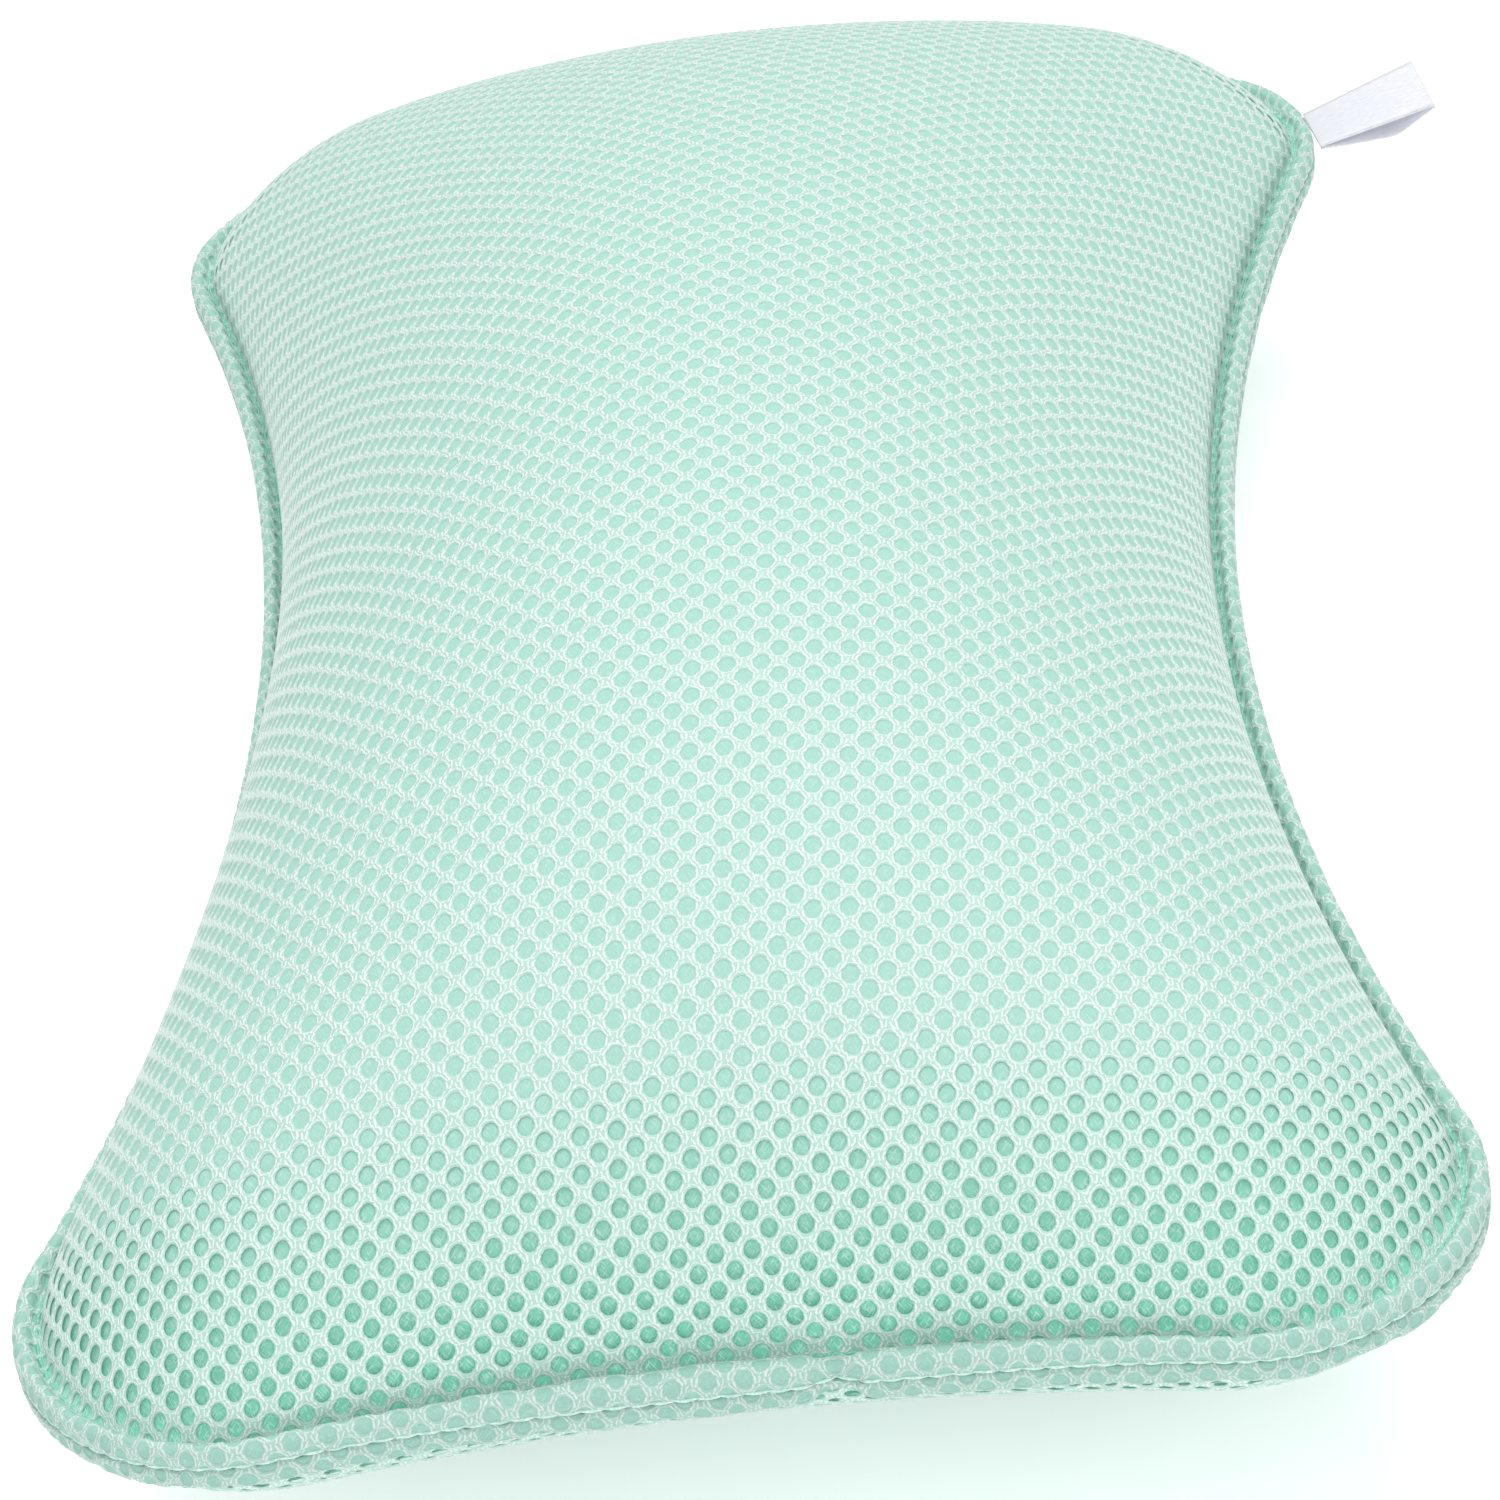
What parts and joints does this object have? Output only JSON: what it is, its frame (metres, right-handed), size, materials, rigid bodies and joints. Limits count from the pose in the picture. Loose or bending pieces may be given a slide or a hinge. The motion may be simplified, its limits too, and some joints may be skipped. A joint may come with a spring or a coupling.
{
  "type": "bath pillow",
  "caption": "Hourglass bath pillow of mint spacer mesh with a rolled flange, fibre filling, a ribbon hanging loop and swivelling suction cups on the back.",
  "frame": {"origin": "centre of the plane of the four cup rims, under the pillow's middle", "axes": "+Z from the cup rims towards the crown, +Y along the pillow towards the end with the loop, +X across it"},
  "size_m": [0.2163, 0.3406, 0.1041],
  "materials": {
    "spacer_mesh": "knitted polyester spacer mesh, open face",
    "polyester_fibre": "loose white polyester fibre",
    "sewing_thread": "spun polyester thread",
    "satin_ribbon": "woven white satin",
    "clear_pvc": "moulded clear soft PVC",
    "eyelet_plastic": "moulded white polypropylene"
  },
  "bodies": {
    "pillow": {"front_panel": "spacer_mesh", "back_panel": "spacer_mesh", "fibre_fill": "polyester_fibre", "needle_thread": "sewing_thread", "bobbin_thread": "sewing_thread", "joining_thread": "sewing_thread", "eyelet_1": "eyelet_plastic", "eyelet_washer_1": "eyelet_plastic", "eyelet_2": "eyelet_plastic", "eyelet_washer_2": "eyelet_plastic", "eyelet_3": "eyelet_plastic", "eyelet_washer_3": "eyelet_plastic", "eyelet_4": "eyelet_plastic", "eyelet_washer_4": "eyelet_plastic"},
    "loop": {"hanging_loop": "satin_ribbon"},
    "cup_1": {"suction_cup_1": "clear_pvc"},
    "cup_2": {"suction_cup_2": "clear_pvc"},
    "cup_3": {"suction_cup_3": "clear_pvc"},
    "cup_4": {"suction_cup_4": "clear_pvc"}
  },
  "joints": [
    {"name": "loop_bend", "type": "hinge", "parent": "pillow", "child": "loop", "pos_m": [0.09766, 0.14429, 0.04021], "axis": [-0.1736, 0.9848, 0], "range_deg": [-58, 84], "stiffness_Nm_per_rad": 0.001},
    {"name": "cup_1_swivel", "type": "hinge", "parent": "pillow", "child": "cup_1", "pos_m": [0.04485, 0.09432, 0.014], "axis": [0, 0, 1], "continuous": true},
    {"name": "cup_2_swivel", "type": "hinge", "parent": "pillow", "child": "cup_2", "pos_m": [-0.04485, 0.09432, 0.014], "axis": [0, 0, 1], "continuous": true},
    {"name": "cup_3_swivel", "type": "hinge", "parent": "pillow", "child": "cup_3", "pos_m": [-0.04485, -0.09432, 0.014], "axis": [0, 0, 1], "continuous": true},
    {"name": "cup_4_swivel", "type": "hinge", "parent": "pillow", "child": "cup_4", "pos_m": [0.04485, -0.09432, 0.014], "axis": [0, 0, 1], "continuous": true}
  ]
}
